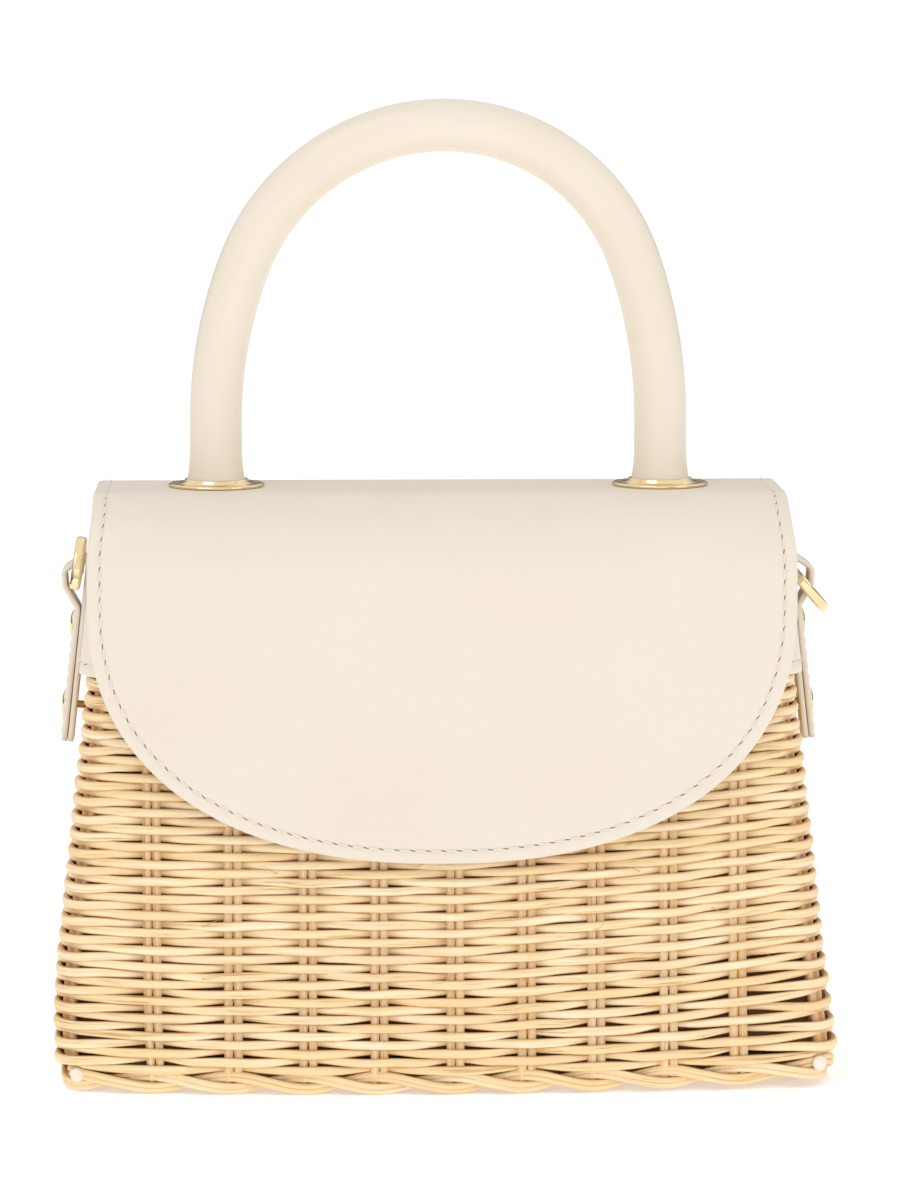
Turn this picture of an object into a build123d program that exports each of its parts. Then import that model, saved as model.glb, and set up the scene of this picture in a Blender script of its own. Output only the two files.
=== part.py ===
"""A small box-shaped basket bag, in millimetres, standing on its base with the flap at -Y.

A hollow wicker box with sloping sides is faced with leather round its rim. A leather lid is sewn
to the back of the box, folds over the top and hangs down the front. A padded handle stands on the
lid, and a folded leather tab on each end of the box holds a D ring for a shoulder strap.
"""

import math
import os

from build123d import *

os.makedirs("parts", exist_ok=True)

# ---------------------------------------------------------------- sizes
# wicker box
base_length = 204.0        # X, at the widest level just above the base
base_depth = 90.0          # Y, at the same level, mid front to mid back
rim_length = 176.0
rim_depth = 66.0
widest_z = 9.0
rim_z = 134.0
base_tuck = 2.5            # how far the base border turns in on every side
corner_radius = 9.0
base_bow = 6.0             # how far front and back bulge past the corners at the base
rim_bow = 0.5              # and at the rim
wall = 6.0                 # weave thickness, strand over stake over strand
floor = 6.0
end_rod_diameter = 3.6
end_rod_from_end = 6.0     # rod centre in from the widest level
end_rod_z = 3.5
end_rod_proud = 0.8

# leather round the rim, hoop and lining inside
facing = 1.4
facing_height = 34.0       # from the rim down
facing_gap = 0.1           # between the facing and the weave
tongue_rise = 13.4         # the arch the facing makes above the rim at each end
tongue_inset = 4.0         # foot of the arch in from the front and back of the rim
end_board = 2.0
hoop = 2.1
hoop_height = 12.0
lining = 0.8
lining_gap = 0.3
base_board = 2.0

# lid
lid_overhang = 2.0         # past each end of the rim
lid_rise = 18.0            # top of the lid above the rim
bend_radius = 22.0
lid_leather = 1.4
lid_lining = 0.6
lid_gap = 0.4              # between the lid lining and the facing
flap_drop = 92.0           # from the top of the lid to the lowest point of the flap
straight_drop = 25.8       # from the top of the lid to where the flap's sides start to round in
curve_power = 2.3
lining_margin = 2.0
hinge_drop = 3.0           # hinge line below the rim
hinge_slit = 0.3
panel_drop = 36.0          # lower edge of the sewn panel below the rim
panel_inset = 2.0
panel_corner = 12.0
board_inset = 4.0          # in from each end of the rim
board_margin = 1.2         # in from where the top starts to bend
board_thickness = 2.0

# handle
leg_inset = 30.4           # leg in from the end of the rim
tube = 13.4
cover_leather = 1.35
foot_flare = 1.4           # how much wider the tube is at its foot
foot_height = 5.0
core_gap = 0.1
straight_leg = 16.6        # above the lid, before the legs turn into the arch
arch_rise = 76.5           # from there to the middle of the tube at the top
crown_radius = 53.5
flange_edge = 4.6          # flange past the foot all round
flange = 1.2
bolt = 4.0
bolt_hole = 4.2
bolt_above = 14.0          # the lid's top
bolt_below = 8.4
washer_diameter = 12.0
washer = 0.8
nut_across = 7.0
nut = 3.0

# end tabs, rivets and rings
tab_width = 10.0
tab_leather = 1.5
tab_gap = 0.2              # tab to facing
tab_slit = 0.15            # between its two layers
tab_drop = 48.3            # from the rim to the tab's lower end
loop_low_drop = 13.8
loop_wide_drop = 4.4
loop_rise = 0.7            # top of the loop above the rim
loop_play = 1.05           # room for the bar to turn in the loop
loop_bend = 1.9
rivet_drops = {"upper": 18.0, "lower": 39.0}   # below the rim
rivet_head = 7.0
rivet_dome = 1.9
rivet_shank = 2.6
ring_bar = 2.8
ring_inside = 15.0
ring_clear = 8.6           # bar middle to the inside of the bow
ring_bed = 0.65            # gap between the bar and the tab's inner layer
ring_down = 7.0275         # bar middle below the rim, down the wall
ring_angle = {"right": 33.614, "left": 181.614}   # up from lying flat down the wall
shank_gap = 0.1

# magnet catch
catch_rise = 18.0          # middle of the catch above the flap's lowest point
catch_diameter = 18.0
catch_sunk = 1.5
catch_proud = 0.9
catch_dimple = 0.35
stud_diameter = 14.0
stud_gap = 0.15
stud_boss = 5.0

# ---------------------------------------------------------------- the box shape
end_slope = math.atan((base_length - rim_length) / 2 / (rim_z - widest_z))
front_slope = math.atan((base_depth - rim_depth) / 2 / (rim_z - widest_z))


def level(at_base, at_rim, z):
    """A size that runs straight from the widest level to the rim and on above it."""
    part = max(0.0, (z - widest_z) / (rim_z - widest_z))
    return at_base + (at_rim - at_base) * part


def half_length(z):
    return level(base_length, rim_length, z) / 2


def half_depth(z):
    return level(base_depth, rim_depth, z) / 2


def plan(z, grow=0.0):
    """The box outline at one height, every side moved out by grow."""
    a = half_length(z) + grow
    b = half_depth(z) + grow
    c = b - max(rim_bow, level(base_bow, rim_bow, z))
    outline = Curve() + [
        ThreePointArc((-a, -c), (0, -b), (a, -c)),
        Line((a, -c), (a, c)),
        ThreePointArc((a, c), (0, b), (-a, c)),
        Line((-a, c), (-a, -c)),
    ]
    face = make_face(outline)
    radius = max(1.5, corner_radius + grow)
    return Pos(0, 0, z) * fillet(face.vertices(), radius)


def tier(z0, z1, grow0=0.0, grow1=None):
    """A solid slice of the box shape between two heights."""
    return loft([plan(z0, grow0), plan(z1, grow0 if grow1 is None else grow1)], ruled=True)


def end_frame(z):
    """A plane lying on the right end of the weave: x along +Y, z straight out of the wall."""
    return Plane(
        origin=(half_length(z), 0, z),
        x_dir=(0, 1, 0),
        z_dir=(math.cos(end_slope), 0, math.sin(end_slope)),
    )


def front_frame(z):
    """A plane lying on the middle of the front weave: z straight out of the wall."""
    return Plane(
        origin=(0, -half_depth(z), z),
        x_dir=(1, 0, 0),
        z_dir=(0, -math.cos(front_slope), math.sin(front_slope)),
    )


def disc(frame, diameter, z0, z1):
    """A round plug square to a frame, between two distances along its z."""
    return frame * (Pos(0, 0, (z0 + z1) / 2) * Cylinder(diameter / 2, z1 - z0))


def left_of(solid):
    return mirror(solid, about=Plane.YZ)


nodes = {}

# ---------------------------------------------------------------- levels out from the weave
facing_out = facing_gap + facing
tab_in = facing_out + tab_gap
tab_split = tab_in + tab_leather
tab_out = tab_split + tab_slit + tab_leather
loop_reach = tab_out + ring_bar + loop_play   # its corner before it is rounded
ring_out = tab_split + ring_bed + ring_bar / 2
ring_drop = ring_clear + ring_bar / 2
lining_in = wall + lining_gap + lining
lid_stack = facing_out + lid_gap + lid_lining + lid_leather

# ---------------------------------------------------------------- heights and widths set by the rim
facing_bottom_z = rim_z - facing_height
tongue_top_z = rim_z + tongue_rise
tongue_half = rim_depth / 2 - tongue_inset
lid_top_z = rim_z + lid_rise
lid_width = rim_length + 2 * lid_overhang
lid_bottom_z = lid_top_z - flap_drop
curve_start_z = lid_top_z - straight_drop
hinge_z = rim_z - hinge_drop
panel_bottom_z = rim_z - panel_drop
panel_width = rim_length - 2 * panel_inset
board_length = rim_length - 2 * board_inset
catch_z = lid_bottom_z + catch_rise

# ---------------------------------------------------------------- wicker box, rods, board, lining
wicker = tier(0, widest_z, -base_tuck, 0) + tier(widest_z, rim_z)
wicker -= tier(floor, widest_z, -wall) + tier(widest_z, rim_z, -wall)
rod_x = base_length / 2 - end_rod_from_end
rod_half = half_depth(end_rod_z) - base_bow - 0.5 + end_rod_proud
rod = Pos(rod_x, 0, end_rod_z) * Rot(90, 0, 0) * Cylinder(end_rod_diameter / 2, 2 * rod_half)
rod_hole = Pos(rod_x, 0, end_rod_z) * Rot(90, 0, 0) * Cylinder(end_rod_diameter / 2 + shank_gap, 120)
wicker -= [rod_hole, left_of(rod_hole)]
nodes["end_rod_right"] = rod
nodes["end_rod_left"] = left_of(rod)

nodes["base_board"] = tier(floor, floor + base_board, -wall - 1.5)
lining_floor = floor + base_board + 0.2
lining_top = rim_z - hoop_height
liner = tier(lining_floor, widest_z, -wall - lining_gap) + tier(widest_z, lining_top, -wall - lining_gap)
liner -= tier(lining_floor + lining, lining_top, -lining_in)
nodes["rim_hoop"] = tier(lining_top, rim_z, -wall - 0.1) - tier(lining_top, rim_z, -wall - 0.1 - hoop)

# ---------------------------------------------------------------- leather facing and end boards
arch = make_face(
    Plane.YZ
    * (
        Curve()
        + [
            ThreePointArc((-tongue_half, rim_z), (0, tongue_top_z), (tongue_half, rim_z)),
            Line((tongue_half, rim_z), (-tongue_half, rim_z)),
        ]
    )
)
arch_bar = extrude(arch, base_length, both=True)
band = tier(facing_bottom_z, rim_z, facing_out) - tier(facing_bottom_z, rim_z, facing_gap)
tongues = tier(rim_z, lid_top_z, facing_out) - tier(rim_z, lid_top_z, facing_gap)
band += tongues & arch_bar
end_boards = (tier(rim_z, lid_top_z) - tier(rim_z, lid_top_z, -end_board)) & arch_bar
for solid in end_boards.solids():
    nodes["end_board_right" if solid.center().X > 0 else "end_board_left"] = solid

# ---------------------------------------------------------------- lid: profile across the box
bend_z = lid_top_z - bend_radius
bend_y = half_depth(bend_z) - (bend_radius - lid_stack) / math.cos(front_slope)


def lid_inside(depth):
    """Everything under the lid's outer skin, moved in by depth, cut off below the flap."""
    radius = bend_radius - depth
    side = math.cos(front_slope), math.sin(front_slope)
    half = math.radians(90 + math.degrees(front_slope)) / 2
    turn_y = bend_y + radius * side[0]
    turn_z = bend_z + radius * side[1]
    low_z = lid_bottom_z - 10
    low_y = turn_y + (turn_z - low_z) * math.tan(front_slope)
    mid_y = bend_y + radius * math.cos(half)
    mid_z = bend_z + radius * math.sin(half)
    top_z = bend_z + radius
    lines = [
        Line((-low_y, low_z), (-turn_y, turn_z)),
        ThreePointArc((-turn_y, turn_z), (-mid_y, mid_z), (-bend_y, top_z)),
        Line((-bend_y, top_z), (bend_y, top_z)),
        ThreePointArc((bend_y, top_z), (mid_y, mid_z), (turn_y, turn_z)),
        Line((turn_y, turn_z), (low_y, low_z)),
        Line((low_y, low_z), (-low_y, low_z)),
    ]
    return make_face(Plane.YZ * (Curve() + lines))


def flap_outline(margin):
    """Front view of the hanging flap: straight sides rounding into one broad curve."""
    a = lid_width / 2 - margin
    b = curve_start_z - lid_bottom_z - margin
    points = []
    for step in range(0, 37):
        turn = math.pi * step / 36
        x = a * math.copysign(abs(math.cos(turn)) ** (2 / curve_power), math.cos(turn))
        z = curve_start_z - b * math.sin(turn) ** (2 / curve_power)
        points.append((x, z))
    curve = Spline(*points, tangents=((0, -1), (0, 1)))
    top = lid_top_z + 5
    lines = [
        curve,
        Line((-a, curve_start_z), (-a, top)),
        Line((-a, top), (a, top)),
        Line((a, top), (a, curve_start_z)),
    ]
    face = make_face(Plane.XZ * (Curve() + lines))
    return extrude(face, base_depth, dir=(0, -1, 0))


def lid_layer(outer, inner, margin):
    """One leather or lining layer of the lid, cut to the flap in front and the hinge behind."""
    layer = extrude(outer - inner, lid_width / 2 - margin, both=True)
    back = Pos(0, base_depth / 2, (lid_top_z + hinge_z + hinge_slit / 2) / 2 + 10)
    back *= Box(base_length, base_depth, lid_top_z - hinge_z - hinge_slit / 2 + 20)
    return layer & (flap_outline(margin) + back)


board_depth = 2 * (bend_y - board_margin)
skin = lid_inside(0)
under_leather = lid_inside(lid_leather)
board_top = lid_top_z - lid_leather
board_cut = Plane.YZ * (Pos(0, board_top) * Rectangle(board_depth, 2 * board_thickness))
around_board = under_leather - board_cut
flap = lid_layer(skin, under_leather, 0)
flap_lining = lid_layer(around_board, offset(around_board, -lid_lining), lining_margin)
top_board = Pos(0, 0, board_top - board_thickness / 2) * Box(board_length, board_depth, board_thickness)

# the same sheet goes on below the hinge line and is sewn to the facing
panel = extrude(skin - lid_inside(lid_stack - facing_out - 0.05), panel_width / 2, both=True)
panel_z = hinge_z - hinge_slit / 2
panel_face = Pos(0, (panel_bottom_z + panel_z) / 2) * Rectangle(panel_width, panel_z - panel_bottom_z)
low_corners = panel_face.vertices().sort_by(Axis.Y)[:2]
panel_face = fillet(low_corners, panel_corner)
nodes["hinge_panel"] = panel & extrude(Plane.XZ * panel_face, base_depth, dir=(0, 1, 0))

# ---------------------------------------------------------------- magnet catch
catch = front_frame(catch_z)
inner_face = -lining_in - 0.05
socket = disc(catch, catch_diameter, -catch_sunk, catch_proud)
socket -= disc(catch, stud_diameter / 2, catch_proud - catch_dimple, catch_proud + 1)
socket += disc(catch, rivet_shank, inner_face - washer, -catch_sunk)
nodes["catch_socket"] = socket
catch_washer = disc(catch, catch_diameter - 2, inner_face - washer, inner_face)
nodes["catch_washer"] = catch_washer - disc(catch, rivet_shank + 2 * shank_gap, -20, 0)
catch_hole = disc(catch, rivet_shank + 2 * shank_gap, -20, 0)
wicker -= [catch_hole, disc(catch, catch_diameter + 2 * shank_gap, -catch_sunk, 5)]
liner -= catch_hole
lid_face = lid_stack - lid_leather - lid_lining
stud = disc(catch, stud_diameter, catch_proud + stud_gap, lid_face)
stud += disc(catch, stud_boss, lid_face, lid_face + lid_lining)
nodes["catch_stud"] = stud
flap_lining -= disc(catch, stud_boss + 2 * shank_gap, 0, 5)

# ---------------------------------------------------------------- handle
leg_x = rim_length / 2 - leg_inset
foot_z = lid_top_z + flange
spring_z = lid_top_z + straight_leg
core = tube - 2 * (cover_leather + core_gap)
tube_foot = tube + foot_flare
flange_diameter = tube_foot + 2 * flange_edge
bolt_top_z = lid_top_z + bolt_above
bolt_bottom_z = lid_top_z - bolt_below
side_radius = (leg_x**2 + (arch_rise - crown_radius) ** 2 - crown_radius**2) / (2 * (leg_x - crown_radius))
crown_z = spring_z + arch_rise - crown_radius
side_x = leg_x - side_radius
lean = math.atan2(crown_z - spring_z, -side_x)
meet_x = side_x + side_radius * math.cos(lean)
meet_z = spring_z + side_radius * math.sin(lean)
mid_x = side_x + side_radius * math.cos(lean / 2)
mid_z = spring_z + side_radius * math.sin(lean / 2)
arch_line = Plane.XZ * (
    Curve()
    + [
        Line((leg_x, foot_z), (leg_x, spring_z)),
        ThreePointArc((leg_x, spring_z), (mid_x, mid_z), (meet_x, meet_z)),
        ThreePointArc((meet_x, meet_z), (0, crown_z + crown_radius), (-meet_x, meet_z)),
        ThreePointArc((-meet_x, meet_z), (-mid_x, mid_z), (-leg_x, spring_z)),
        Line((-leg_x, spring_z), (-leg_x, foot_z)),
    ]
)
leg_start = Plane(origin=(leg_x, 0, foot_z), x_dir=(1, 0, 0), z_dir=(0, 0, 1))
cover = sweep(leg_start * Circle(tube / 2), path=arch_line)
bore = sweep(leg_start * Circle(core / 2 + core_gap), path=arch_line)
rope = sweep(leg_start * Circle(core / 2), path=arch_line)
foot = Pos(leg_x, 0, foot_z + foot_height / 2) * Cone(tube_foot / 2, tube / 2, foot_height)
nodes["handle_cover"] = cover + [foot, left_of(foot)] - bore
hole = Pos(leg_x, 0, foot_z) * Cylinder(bolt_hole / 2, 60)
bolt_well = Pos(leg_x, 0, foot_z) * Cylinder(bolt_hole / 2, 2 * (bolt_top_z - foot_z + 0.5))
nodes["handle_core"] = rope - [bolt_well, left_of(bolt_well)]
lid_under = board_top - board_thickness - lid_lining
flange_disc = Pos(leg_x, 0, lid_top_z + flange / 2) * Cylinder(flange_diameter / 2, flange)
flange_disc = chamfer(flange_disc.edges().group_by(Axis.Z)[-1], 0.4) - hole
bolt_rod = Pos(leg_x, 0, (bolt_top_z + bolt_bottom_z) / 2) * Cylinder(bolt / 2, bolt_top_z - bolt_bottom_z)
washer_disc = Pos(leg_x, 0, lid_under - washer / 2) * Cylinder(washer_diameter / 2, washer) - hole
nut_prism = extrude(RegularPolygon(nut_across / 2, 6, major_radius=False), nut)
nut_solid = Pos(leg_x, 0, lid_under - washer - nut) * nut_prism - hole
for name, solid in (
    ("handle_flange", flange_disc),
    ("handle_bolt", bolt_rod),
    ("handle_washer", washer_disc),
    ("handle_nut", nut_solid),
):
    nodes[name + "_right"] = solid
    nodes[name + "_left"] = left_of(solid)
flap -= [hole, left_of(hole)]
flap_lining -= [hole, left_of(hole)]
top_board -= [hole, left_of(hole)]

# ---------------------------------------------------------------- end tabs
tab_frame = Plane(
    origin=(half_length(rim_z), 0, rim_z),
    x_dir=(math.cos(end_slope), 0, math.sin(end_slope)),
    z_dir=(0, -1, 0),
)


def up_wall(z):
    """Distance along the sloping wall from the rim to a height."""
    return (z - rim_z) / math.cos(end_slope)


inner_mid = tab_in + tab_leather / 2
outer_mid = tab_split + tab_slit + tab_leather / 2
tab_line = FilletPolyline(
    (inner_mid, up_wall(rim_z - tab_drop)),
    (inner_mid, up_wall(rim_z + loop_rise)),
    (loop_reach, up_wall(rim_z - loop_wide_drop)),
    (loop_reach - 0.7, up_wall(rim_z - loop_wide_drop - 4)),
    (outer_mid, up_wall(rim_z - loop_low_drop)),
    (outer_mid, up_wall(rim_z - tab_drop)),
    radius=loop_bend,
)
tab = extrude(tab_frame * trace(tab_line, tab_leather), tab_width / 2, both=True)

rivet_holes = []
for level_name, drop in rivet_drops.items():
    frame = end_frame(rim_z - drop)
    rivet_hole = disc(frame, rivet_shank + 2 * shank_gap, -20, 20)
    rivet_holes += [rivet_hole, left_of(rivet_hole)]
    head_base = tab_out + 0.05
    ball = (rivet_head**2 / 4 + rivet_dome**2) / (2 * rivet_dome)
    dome = frame * (Pos(0, 0, head_base + rivet_dome - ball) * Sphere(ball))
    dome &= disc(frame, rivet_head, head_base, head_base + rivet_dome)
    rivet = dome + disc(frame, rivet_shank, inner_face - washer, head_base)
    rivet += disc(frame, rivet_head, inner_face - washer, inner_face)
    nodes[f"rivet_{level_name}_right"] = rivet
    nodes[f"rivet_{level_name}_left"] = left_of(rivet)
wicker -= rivet_holes
liner -= rivet_holes
band -= rivet_holes
tab -= rivet_holes
nodes["end_tab_right"] = tab
nodes["end_tab_left"] = left_of(tab)

# ---------------------------------------------------------------- D rings
outside = ring_inside / 2 + ring_bar
bow_x = ring_drop - (ring_inside + ring_bar) / 2
ring_outer = Pos((bow_x - ring_bar / 2) / 2, 0) * Rectangle(bow_x + ring_bar / 2, 2 * outside)
ring_outer = fillet(ring_outer.vertices().group_by(Axis.X)[0], ring_bar / 2)
ring_outer += Pos(bow_x, 0) * Circle(outside) & Pos(bow_x + outside, 0) * Rectangle(2 * outside, 3 * outside)
ring_hole = Pos(bow_x, 0) * Circle(ring_inside / 2)
ring_hole &= Pos(ring_bar / 2 + outside, 0) * Rectangle(2 * outside, 4 * outside)
ring_flat = extrude(ring_outer - ring_hole, ring_bar / 2, both=True)
ring_flat = fillet(ring_flat.edges().filter_by(Plane.XY), ring_bar * 0.28)
ring_x = half_length(rim_z) + ring_out * math.cos(end_slope) + ring_down * math.sin(end_slope)
ring_z = rim_z + ring_out * math.sin(end_slope) - ring_down * math.cos(end_slope)
for side, angle in ring_angle.items():
    lean = math.radians(angle) + end_slope
    frame = Plane(
        origin=(ring_x, 0, ring_z),
        x_dir=(math.sin(lean), 0, -math.cos(lean)),
        z_dir=(math.cos(lean), 0, math.sin(lean)),
    )
    ring = frame * ring_flat
    nodes["ring_" + side] = ring if side == "right" else left_of(ring)

nodes["wicker_shell"] = wicker
nodes["bag_lining"] = liner
nodes["rim_facing"] = band
nodes["flap"] = flap
nodes["flap_lining"] = flap_lining
nodes["top_board"] = top_board

# ---------------------------------------------------------------- write one file per piece
for name, shape in sorted(nodes.items()):
    solids = shape.solids()
    print(f"{name:22s} solids {len(solids)}  volume {sum(s.volume for s in solids):10.1f}")
    piece = solids[0] if len(solids) == 1 else Compound(children=list(solids))
    export_step(piece, f"parts/{name}.step")
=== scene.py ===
# %% [markdown]
# # A small basket bag
# The bag is a woven cane box with a cream leather lid, a round leather handle and
# gold-coloured metal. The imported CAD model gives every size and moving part. This lesson
# loads it first and then builds each soft or woven piece round it as a real maker would.

import math

import bmesh
import bpy
import numpy as np
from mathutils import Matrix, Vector
from mathutils.geometry import delaunay_2d_cdt


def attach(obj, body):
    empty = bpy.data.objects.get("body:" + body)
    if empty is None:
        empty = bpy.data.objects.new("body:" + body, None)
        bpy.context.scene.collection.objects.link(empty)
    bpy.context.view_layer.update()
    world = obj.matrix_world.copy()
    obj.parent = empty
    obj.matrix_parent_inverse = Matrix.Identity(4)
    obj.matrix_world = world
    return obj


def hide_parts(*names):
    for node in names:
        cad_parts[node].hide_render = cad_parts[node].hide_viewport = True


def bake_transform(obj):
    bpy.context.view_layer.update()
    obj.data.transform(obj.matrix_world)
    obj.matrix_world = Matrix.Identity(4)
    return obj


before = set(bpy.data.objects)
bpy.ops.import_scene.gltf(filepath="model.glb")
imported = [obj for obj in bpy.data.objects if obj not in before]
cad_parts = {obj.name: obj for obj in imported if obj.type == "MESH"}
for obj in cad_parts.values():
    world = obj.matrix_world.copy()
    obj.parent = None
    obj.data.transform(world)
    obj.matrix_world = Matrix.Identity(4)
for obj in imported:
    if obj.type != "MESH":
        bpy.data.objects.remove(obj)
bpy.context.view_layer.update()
MM = 0.001

# %% [markdown]
# ## The camera
# A bag for a catalogue is shot from far away with a long lens, so that its sides stay
# straight. The camera stands a little left of the middle and a little above the handle.

# %% Camera
scene = bpy.context.scene
camera = bpy.data.objects.new("camera", bpy.data.cameras.new("camera"))
scene.collection.objects.link(camera)
scene.camera = camera
camera.data.lens = 150.85
camera.data.sensor_width = 36
camera.location = (-0.0392, -1.2993, 0.2807)
aim = Vector((0.0030, 0.0, 0.1220)) - camera.location
camera.rotation_mode = "QUATERNION"
camera.rotation_quaternion = aim.to_track_quat("-Z", "Y")
camera.data.clip_start, camera.data.clip_end = 0.05, 30
print("camera is", round(aim.length, 3), "m from the bag")

# %% [markdown]
# ## Materials: the helpers
# A shader is a small network of nodes. One helper adds a node with its settings and links,
# so that each material below reads as a list. Colours are written as sRGB hex, the way a
# colour picker shows them, and one function turns them into linear light.


# %% Node and colour helpers
def colour(hex_code):
    """sRGB hex to linear RGBA."""
    parts = [int(hex_code[i : i + 2], 16) / 255 for i in (0, 2, 4)]
    linear = [p / 12.92 if p <= 0.04045 else ((p + 0.055) / 1.055) ** 2.4 for p in parts]
    return (*linear, 1.0)


def fill(tree, node, inputs):
    """Sets a node's inputs: a socket is linked, anything else is a value."""
    for key, value in inputs.items():
        if isinstance(value, bpy.types.NodeSocket):
            tree.links.new(value, node.inputs[key])
        else:
            node.inputs[key].default_value = value


def put(tree, kind, inputs=None, out=0, **settings):
    """Adds one node and gives one of its outputs."""
    made = tree.nodes.new("ShaderNode" + kind)
    for name, value in settings.items():
        setattr(made, name, value)
    fill(tree, made, inputs or {})
    return made.outputs[out] if made.outputs else made


def start_material(name, inputs):
    """A material with its Principled shader, whose inputs are set."""
    material = bpy.data.materials.new(name)
    material.use_nodes = True
    tree = material.node_tree
    shader = tree.nodes["Principled BSDF"]
    fill(tree, shader, inputs)
    return material, tree, shader


# a Mix node that mixes colours has its share at input 0, its colours at 6 and 7, its result at 2
SHARE, FROM, TO, MIXED = 0, 6, 7, 2

# %% [markdown]
# ## Cane
# The box is woven from peeled rattan core. It is the colour of pale straw, each strand a
# little different, with fine fibres running along it and a soft satin shine. Every strand
# carries its own coordinates, how far along and how far round, so the fibres follow it.
# Shade is painted in too: the top and bottom of each strand, where it meets its neighbours,
# and the parts tucked behind other strands are made darker and browner.


# %% Cane
def cane_material():
    material, tree, shader = start_material("peeled_cane", {"Roughness": 0.52, "IOR": 1.5})
    grain = put(tree, "Attribute", out="Vector", attribute_name="grain")
    # 0.05 per mm along and nine round: real fibres are finer, and are drawn this coarse to show
    streaks = put(tree, "Mapping", {"Vector": grain, "Scale": (0.05, 9.0, 61.0)})
    fibre = put(tree, "TexNoise", {"Vector": streaks, "Scale": 1.0, "Detail": 5.0, "Roughness": 0.65}, "Fac")
    drift = put(tree, "Mapping", {"Vector": grain, "Scale": (0.012, 0.4, 23.0)})
    patch = put(tree, "TexNoise", {"Vector": drift, "Scale": 1.0, "Detail": 2.0}, "Fac")
    split = put(tree, "SeparateXYZ", {0: grain}).node
    # each strand's own number picks its own shade of straw
    shade = put(tree, "TexWhiteNoise", {"W": split.outputs[2]}, "Value", noise_dimensions="1D")
    # painted shade: the top and bottom of a strand, a quarter and three quarters round, where it meets the
    # rows above and below, are painted darker and redder
    edge = put(tree, "Math", {0: split.outputs[1], 1: 4 * math.pi}, operation="MULTIPLY")
    edge = put(tree, "Math", {0: edge}, operation="COSINE")
    # tuck tells how far cane is set back behind other strands; the mix below paints it darker and browner,
    # painted shade with the warm colour of light bounced inside the weave
    tuck = put(tree, "Attribute", out="Fac", attribute_name="tuck")
    base = colour("FFF2D6")
    for value, low, high, most, tone in (
        (shade, 0.0, 1.0, 1.0, "FAE2B2"),
        (fibre, 0.36, 0.66, 1.0, "EDCB90"),
        (patch, 0.5, 0.72, 0.8, "F2CE9E"),
        (fibre, 0.6, 0.72, 0.8, "B07A45"),
        (edge, -0.1, -0.95, 0.75, "C58B50"),
        (tuck, 0.25, 1.0, 0.7, "D69C5C"),
    ):
        share = put(tree, "MapRange", {0: value, 1: low, 2: high, 3: 0.0, 4: most})
        base = put(tree, "Mix", {SHARE: share, FROM: base, TO: colour(tone)}, MIXED, data_type="RGBA")
    bump = put(tree, "Bump", {"Height": fibre, "Strength": 0.5, "Distance": 0.00012})
    fill(tree, shader, {"Base Color": base, "Normal": bump})
    return material


cane = cane_material()

# %% [markdown]
# ## Leather
# Cream leather with a smooth, slightly waxy finish. The grain is a net of tiny cells about
# half a millimetre across, so shallow that only the highlight shows it, and the colour
# drifts very slightly over the hide. The handle's leather is pulled tighter and shines more.


# %% Leather
def leather_material(name, tone, deep, roughness, grain_depth):
    values = {"Roughness": roughness, "IOR": 1.48, "Coat Weight": 0.12, "Coat Roughness": 0.3}
    material, tree, shader = start_material(name, values)
    place = put(tree, "TexCoord", out="Object")
    cells = put(tree, "TexVoronoi", {"Vector": place, "Scale": 1900.0}, "Distance", feature="DISTANCE_TO_EDGE")
    soft = put(tree, "TexNoise", {"Vector": place, "Scale": 26.0, "Detail": 3.0}, "Fac")
    share = put(tree, "MapRange", {0: soft, 1: 0.35, 2: 0.65})
    base = put(tree, "Mix", {SHARE: share, FROM: colour(tone), TO: colour(deep)}, MIXED, data_type="RGBA")
    rough = put(tree, "MapRange", {0: soft, 1: 0.3, 2: 0.7, 3: roughness - 0.02, 4: roughness + 0.03})
    pores = put(tree, "MapRange", {0: cells, 1: 0.0, 2: 0.25})
    bump = put(tree, "Bump", {"Height": pores, "Strength": 0.35, "Distance": grain_depth})
    fill(tree, shader, {"Base Color": base, "Roughness": rough, "Normal": bump})
    return material


lid_leather = leather_material("cream_leather", "EADFD0", "E8DCCC", 0.46, 0.00003)
handle_leather = leather_material("handle_leather", "ECE0CF", "EADDCB", 0.36, 0.00002)

# %% [markdown]
# ## Metal, thread, cloth and board
# The gold parts are polished brass plate, which tints its reflections, with faint rubbing
# marks. The bolts and the magnet catch are nickel-plated steel. Thread is off-white waxed
# polyester, its twist drawn as a fine wave. The needle holes are flat dark dashes of painted
# shade. The lining is a brown cotton canvas, with painted shade between its threads.


# %% Metal, thread, cloth and board
def metal_material(name, tint, worn, roughness, scratch_scale):
    material, tree, shader = start_material(name, {"Metallic": 1.0})
    place = put(tree, "TexCoord", out="Object")
    rubbed = put(tree, "TexNoise", {"Vector": place, "Scale": scratch_scale, "Detail": 4.0}, "Fac")
    rough = put(tree, "MapRange", {0: rubbed, 1: 0.35, 2: 0.7, 3: roughness * 0.7, 4: roughness * 1.5})
    share = put(tree, "MapRange", {0: rubbed, 1: 0.5, 2: 0.8, 3: 0.0, 4: 0.3})
    base = put(tree, "Mix", {SHARE: share, FROM: colour(tint), TO: colour(worn)}, MIXED, data_type="RGBA")
    fill(tree, shader, {"Base Color": base, "Roughness": rough})
    return material


def thread_material():
    material, tree, shader = start_material("waxed_thread", {"Roughness": 0.6, "Sheen Weight": 0.3})
    place = put(tree, "TexCoord", out="Object")
    inputs = {"Vector": place, "Scale": 900.0, "Distortion": 1.0}
    twist = put(tree, "TexWave", inputs, "Fac", bands_direction="DIAGONAL")
    ends = {FROM: colour("DED4C4"), TO: colour("F3ECE0")}
    fill(tree, shader, {"Base Color": put(tree, "Mix", {SHARE: twist, **ends}, MIXED, data_type="RGBA")})
    return material


# the needle holes are flat grey-brown dashes; their dark colour is painted shade inside the holes
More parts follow.
